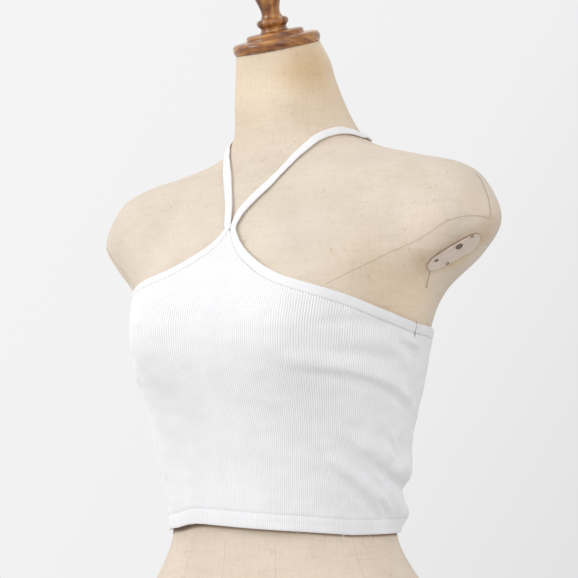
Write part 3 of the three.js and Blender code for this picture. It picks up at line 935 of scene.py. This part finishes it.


# Darker and paler places on the linen: middle in metres, reach in metres, tint. The third to the
# twelfth rows, but for the sixth, lie round the near arm plate and are painted shade and painted
# light; the others tint the neck, the chest and the form below the waist.
LINEN_TINTS_AND_PAINTED_LIGHT = [
    ((0.04, -0.016, 0.607), 0.032, (0.9, 0.82, 0.7)),
    ((0.045, -0.002, 0.585), 0.045, (0.94, 0.9, 0.84)),
    ((0.129, -0.048, 0.403), 0.055, (1.02, 0.99, 0.935)),
    ((0.165, -0.03, 0.421), 0.016, (0.86, 0.8, 0.72)),
    ((0.179, 0.012, 0.428), 0.026, (0.88, 0.8, 0.66)),
    ((0.07, -0.073, 0.449), 0.04, (0.94, 0.95, 0.96)),
    ((0.2, 0.01, 0.455), 0.03, (1.13, 1.12, 1.11)),
    ((0.155, -0.03, 0.407), 0.04, (1.11, 1.07, 1.04)),
    ((0.14, 0.004, 0.392), 0.036, (1.15, 1.11, 1.03)),
    ((0.17, -0.036, 0.449), 0.03, (1.13, 1.1, 1.08)),
    ((0.192, 0.024, 0.441), 0.016, (0.88, 0.81, 0.78)),
    ((0.199, -0.005, 0.474), 0.022, (0.98, 0.95, 0.93)),
    ((0.106, -0.021, 0.179), 0.032, (0.98, 0.97, 0.95)),
]


def linen_material(name, light, dark):
    """Plain weave linen: fine warp and weft, slubs along both, faint tints, rare dark flecks,
    painted shade and painted light round the arm plates, and a painted shadow under the hem.
    """
    made, tree, shader, place = new_material(name, {
        "Roughness": 0.9, "Sheen Weight": 0.1, "Specular IOR Level": 0.2})
    warp = stretched_noise(tree, place, (1, 1, 0.06), 1400, 2)
    weft = stretched_noise(tree, place, (0.08, 0.08, 1), 1400, 2)
    slub_up = stretched_noise(tree, place, (1, 1, 0.12), 330, 3)
    slub_round = stretched_noise(tree, place, (0.14, 0.14, 1), 330, 3)
    cloud = stretched_noise(tree, place, (1, 1, 1), 22, 3)
    fleck = stretched_noise(tree, place, (1, 1, 0.7), 190, 1)
    tone = ramp(tree, cloud, [(0.25, dark), (0.75, light)])
    split = put(tree, "ShaderNodeSeparateXYZ")
    tree.links.new(place, split.inputs["Vector"])
    # A tint that changes with height, then the darker and paler places of the table
    tints_and_painted_light = ramp(tree, split.outputs["Z"], [(0.16, (0.96, 0.96, 0.96)), (0.36, (0.95, 0.95, 0.93)),
                                           (0.44, (0.935, 0.96, 0.97)), (0.52, (0.9, 0.92, 0.93)),
                                           (0.585, (1.06, 1.04, 0.965))])
    # Each place darkens or lightens the linen; round the near arm plate this is painted shade and
    # painted light
    for middle, reach, shade in LINEN_TINTS_AND_PAINTED_LIGHT:
        offset = put(tree, "ShaderNodeVectorMath", operation="DISTANCE")
        tree.links.new(place, offset.inputs[0])
        offset.inputs[1].default_value = middle
        uneven = blend_math(tree, "MULTIPLY", cloud, 0.6 * reach)
        far = blend_math(tree, "ADD", offset.outputs["Value"], uneven)
        spot = ramp(tree, far, [(0.55 * reach, shade), (1.3 * reach, (1, 1, 1))])
        tints_and_painted_light = tint(tree, 1.0, tints_and_painted_light, spot)
    tone = tint(tree, 1.0, tone, tints_and_painted_light)
    # Painted shade round each arm plate's dent, with a golden tint
    hollow = put(tree, "ShaderNodeAttribute", attribute_name="hollow").outputs["Fac"]
    painted_dent_shade = ramp(tree, hollow, [(0.0, (1, 1, 1)), (1.0, (0.97, 0.93, 0.86))])
    tone = tint(tree, 1.0, tone, painted_dent_shade)
    # Painted shadow of the hem: the linen under the hem and just below its edge darkened to a dark
    # brown
    hem_shadow_mask = put(tree, "ShaderNodeAttribute", attribute_name="painted_hem_shadow").outputs["Fac"]
    painted_hem_shadow_tint = ramp(tree, hem_shadow_mask, [(0.0, (1, 1, 1)), (0.5, (0.6, 0.52, 0.46)),
                                  (1.0, (0.3, 0.26, 0.24))])
    tone = tint(tree, 1.0, tone, painted_hem_shadow_tint)
    for source in (slub_up, slub_round, warp, weft):
        streak = ramp(tree, source, [(0.32, (0.9, 0.88, 0.84)), (0.5, (1, 1, 1))])
        tone = tint(tree, 0.35, tone, streak)
    spots = ramp(tree, fleck, [(0.22, (0.8, 0.7, 0.58)), (0.29, (1, 1, 1))])
    tone = tint(tree, 0.5, tone, spots)
    tree.links.new(tone, shader.inputs["Base Color"])
    weave = blend_math(tree, "ADD", warp, weft)
    slubs = blend_math(tree, "ADD", slub_up, slub_round)
    add_bump(tree, shader, blend_math(tree, "ADD", weave, slubs), 0.4, 0.00035)
    return made


def wood_material(name, stretch):
    """Turned, stained wood: long grain, faint rings along the axis, pores and a clear polish."""
    made, tree, shader, place = new_material(name, {
        "Roughness": 0.28, "Coat Weight": 0.4, "Coat Roughness": 0.2})
    grain = stretched_noise(tree, place, stretch, 170, 5)
    pores = stretched_noise(tree, place, (1, 1, 0.08), 900, 3)
    cloud = stretched_noise(tree, place, (1, 1, 0.5), 45, 2)
    tone = ramp(tree, grain, [(0.3, (0.12, 0.035, 0.008)), (0.5, (0.36, 0.14, 0.032)),
                              (0.72, (0.68, 0.33, 0.08))])
    shade = ramp(tree, cloud, [(0.3, (0.75, 0.7, 0.66)), (0.7, (1, 1, 1))])
    tone = tint(tree, 0.8, tone, shade)
    dark = ramp(tree, pores, [(0.3, (0.6, 0.5, 0.42)), (0.45, (1, 1, 1))])
    tone = tint(tree, 0.6, tone, dark)
    tree.links.new(tone, shader.inputs["Base Color"])
    add_bump(tree, shader, pores, 0.12, 0.0003)
    return made


def plate_material(name, light, dark):
    """Pale moulded plastic, dulled by fine scratches and dust."""
    made, tree, shader, place = new_material(name, {"Roughness": 0.5})
    dust = stretched_noise(tree, place, (1, 1, 1), 120, 4)
    scratch = stretched_noise(tree, place, (0.2, 1, 1), 700, 2)
    tree.links.new(ramp(tree, dust, [(0.3, dark), (0.7, light)]), shader.inputs["Base Color"])
    add_bump(tree, shader, scratch, 0.15, 0.0002)
    return made


def stage_material():
    """A pale matt floor with broad, faint clouds."""
    made, tree, shader, place = new_material("pale_floor", {"Roughness": 0.8})
    cloud = stretched_noise(tree, place, (1, 1, 1), 3, 2)
    colour = ramp(tree, cloud, [(0.3, (0.6, 0.59, 0.58)), (0.7, (0.63, 0.62, 0.61))])
    tree.links.new(colour, shader.inputs["Base Color"])
    return made


# Putting the pieces together

def finish_piece(piece, material, slot, *nodes):
    """Gives a piece its material and body, and hides the solids that it replaces. The slot is not
    used.
    """
    piece.data.materials.clear()
    piece.data.materials.append(material)
    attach(piece, "root")
    if nodes:
        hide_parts(*nodes)
    return piece


knit = knit_material("rib_knit", 1.3, RIB_PITCH, 0.7, KNIT_COLOUR)
tape = knit_material("binding_knit", 1.1, 1.2, 0.15, TAPE_COLOUR)
thread = thread_material("white_thread", (0.8, 0.8, 0.82), (0.9, 0.9, 0.92))
linen = linen_material("linen", (0.806, 0.69, 0.582), (0.728, 0.614, 0.504))
shade_linen = linen_material("linen_dark_seam", (0.3, 0.22, 0.15), (0.24, 0.17, 0.11))
seam_linen = linen_material("linen_seam", (0.66, 0.55, 0.43), (0.58, 0.48, 0.37))
cap_wood = wood_material("cap_wood", (0.35, 0.35, 1.6))
knob_wood = wood_material("knob_wood", (1, 1, 0.18))
plate = plate_material("plate_plastic", (0.78, 0.66, 0.57), (0.66, 0.55, 0.46))
# Dark brown for the screws, and painted shade for the plate's middle hole
screw_and_hole_shade = plate_material("screw_metal_and_painted_hole_shade", (0.2, 0.15, 0.12), (0.13, 0.1, 0.08))

finish_piece(dress_form(), linen, "linen", "dress_form")

front_piece = finish_piece(front_panel(), knit, "rib_knit", "front_panel")
back_piece = finish_piece(back_panel(), knit, "rib_knit", "back_panel")

left_strap = finish_piece(strap("left_strap_tape", 1), tape, "binding", "strap_left")
right_strap = finish_piece(strap("right_strap_tape", -1), tape, "binding", "strap_right")
back_tape = finish_piece(back_binding(), tape, "binding", "binding_back")

finish_piece(hem_stitches("hem_stitches_front", -83.5, 83.5, 400), thread, "binding")
finish_piece(hem_stitches("hem_stitches_back", 84.5, 275.5, 400), thread, "binding")
for side, word in SIDES:
    stations = strap_stations(side, 12)
    sewn = strip_stitches(f"{word}_strap_stitches", stations, side, strap_limit(side))
    finish_piece(sewn, thread, "binding")
stations = stations_of(BACK_BINDING, 24)
sewn = strip_stitches("back_binding_stitches", stations, -1, lambda angle: angle)
finish_piece(sewn, thread, "binding")

# Angle, level, length, sweep and bulge of each loose thread
LOOSE_THREADS = [
    (55, 4.17, 5, 3, 1), (56.5, 4.17, 3, -2, 0.6), (71, 4.18, 3.5, 1.5, 0.8),
    (84, 4.3, 3, 1, 0.5), (34, 4.26, 2.4, 1.2, 0.4), (35, 9.04, -2.6, 1.4, 0.4),
    (36.2, 9.02, -2, -1.2, 0.3), (37.5, 9, -2.4, 1, 0.3), (38.6, 8.97, -1.6, -1, 0.3),
    (40, 8.94, -2, 1.3, 0.3), (-20, 4.38, 3, -1.5, 0.6), (140, 4.17, 4, 2, 0.8),
    (212, 4.17, 3, -2, 0.6),
]
finish_piece(loose_threads("loose_threads", LOOSE_THREADS), thread, "binding")

grey_thread = thread_material("grey_thread", (0.24, 0.23, 0.24), (0.34, 0.33, 0.34))
finish_piece(bar_tacks("strap_bar_tacks"), grey_thread, "binding")

# The turned cap and knob stand on the neck's leaning top: radius and height from its face
neck_top = FORM_SECTIONS[TOP_LEVEL]
neck_tilt = neck_top[6]
neck_middle = (neck_top[2], neck_top[0])
CAP_LIFT = 0.3
KNOB_LIFT = 15.35
CAP_PROFILE = [
    (0, 0), (20, 0), (37.4, 0), (39.3, 1.1), (39.9, 3.2), (39.8, 5.6), (39, 7.8), (37.2, 9.2),
    (34, 9.7), (27.6, 9.9), (26.5, 10.6), (26.2, 12), (25.8, 13.4), (24.2, 14.5),
    (20, 14.9), (0, 15),
]
KNOB_PROFILE = [
    (0, 0), (12.8, 0), (12.6, 0.6), (11.8, 2.2), (11.9, 4), (12.6, 5), (14, 6.4), (14.5, 8.4),
    (14, 10.4), (12.6, 11.6), (10.4, 12.4), (9.2, 13.8), (8.5, 16.4), (8.9, 21), (11.3, 29),
    (13.8, 37), (14.9, 45), (13.8, 53), (9.4, 59), (4.6, 61.2), (0, 61.6),
]
cap = lathe("turned_neck_cap", CAP_PROFILE, 120, 120, neck_middle, neck_tilt, CAP_LIFT)
finish_piece(cap, cap_wood, "wood", "neck_cap")
knob = lathe("turned_neck_knob", KNOB_PROFILE, 150, 96, neck_middle, neck_tilt, KNOB_LIFT)
finish_piece(knob, knob_wood, "wood", "neck_knob")

for side, word in SIDES:
    oval = arm_plate(f"{word}_arm_plate", side)
    finish_piece(oval, plate, "plate", f"arm_plate_{word}")
    finish_piece(screw_heads(f"{word}_plate_screws", side), screw_and_hole_shade, "plate")

# Sewn lines of the linen cover: angle and level of a few places on each
SHOULDER_SEAM = [(44.8, 8.82), (50.2, 9.14), (55.3, 9.43), (61.1, 9.78), (68.2, 10.19),
                 (72.9, 10.62), (77.2, 10.82), (81.9, 10.88), (88.9, 10.85)]
ARM_SEAM = [(80, 9.31), (83.3, 9.07), (86.3, 8.85)]
CAP_SEAM = [(89.5, 12.13), (89.7, 11.9), (88.8, 11.67), (88.2, 11.42), (87.7, 11.16),
            (88.4, 10.9)]
for side, word in SIDES:
    for part, places in (("shoulder", SHOULDER_SEAM), ("arm", ARM_SEAM), ("cap", CAP_SEAM)):
        row = [(side * angle, level) for angle, level in places]
        cover = shade_linen if part == "arm" else seam_linen
        finish_piece(form_seam(f"{word}_{part}_seam", row, 0.35), cover, "linen")
for index, angle in enumerate((-25, -3, 23, 62, 118, 180, 242, 298)):
    row = [(angle, level) for level in (0.15, 1.5, 3, 4.06)]
    finish_piece(form_seam(f"waist_seam_{index}", row, 0.25), seam_linen, "linen")

# Floor, light and camera
bpy.ops.mesh.primitive_circle_add(vertices=96, radius=1.4, fill_type="NGON",
                                  location=(0, 0, -0.0005))
floor = bpy.context.object
floor.name = "floor"
floor.data.materials.append(stage_material())

TARGET = Vector((0, 0.012, 0.412))


def area_light(name, place, size, power):
    """A round light that faces the target."""
    light = bpy.data.lights.new(name, "AREA")
    light.shape = "DISK"
    light.size = size
    light.energy = power
    made = bpy.data.objects.new(name, light)
    made.location = place
    made.rotation_euler = (TARGET - Vector(place)).to_track_quat("-Z", "Y").to_euler()
    scene.collection.objects.link(made)


area_light("key", (-1.25, -1.8, 1.3), 1.0, 15.2)
area_light("top", (0.9, -1.5, 1.8), 1.8, 6)
area_light("side", (1.9, -1.3, 0.8), 1.8, 5.6)

scene.view_settings.view_transform = "Standard"
world = bpy.data.worlds.new("studio")
scene.world = world
world.use_nodes = True
studio = world.node_tree
background = studio.nodes["Background"]
background.inputs["Strength"].default_value = 1.0
sky = put(studio, "ShaderNodeTexCoord").outputs["Generated"]

# The wall: brightest on the left, greyer to the right and low down, warmer under the horizon
toward = put(studio, "ShaderNodeVectorMath", operation="DOT_PRODUCT")
toward.inputs[1].default_value = (0.82, 0.57, -0.6)
studio.links.new(sky, toward.inputs[0])
aside = blend_math(studio, "ADD", toward.outputs["Value"], 0.5)
wall = ramp(studio, aside, [(0.25, (0.9, 0.9, 0.9)), (0.5, (0.87, 0.87, 0.87)),
                            (0.72, (0.76, 0.76, 0.765))])
sky_parts = put(studio, "ShaderNodeSeparateXYZ")
studio.links.new(sky, sky_parts.inputs["Vector"])
height = blend_math(studio, "ADD", sky_parts.outputs["Z"], 0.5)
under = ramp(studio, height, [(0.2, (0.52, 0.5, 0.47)), (0.38, (1, 1, 1))])
lit = tint(studio, 1.0, wall, under)
studio.links.new(lit, background.inputs["Color"])

# The camera's angles are in degrees and its distance in metres
VIEW = {"azimuth": 35, "pitch": 5.5, "distance": 1.5, "scale_mm_per_px": 0.9, "frame_px": 578}
azimuth = math.radians(VIEW["azimuth"])
pitch = math.radians(VIEW["pitch"])
forward = Vector((-math.sin(azimuth) * math.cos(pitch), math.cos(azimuth) * math.cos(pitch),
                  math.sin(pitch)))
camera_data = bpy.data.cameras.new("camera")
camera_data.sensor_width = 36
focal_px = VIEW["distance"] / (VIEW["scale_mm_per_px"] * MM)
camera_data.lens = camera_data.sensor_width * focal_px / VIEW["frame_px"]
camera_data.clip_start = 0.05
camera_data.clip_end = 50
camera = bpy.data.objects.new("camera", camera_data)
camera.location = TARGET - forward * VIEW["distance"]
camera.rotation_euler = forward.to_track_quat("-Z", "Y").to_euler()
scene.collection.objects.link(camera)
scene.camera = camera
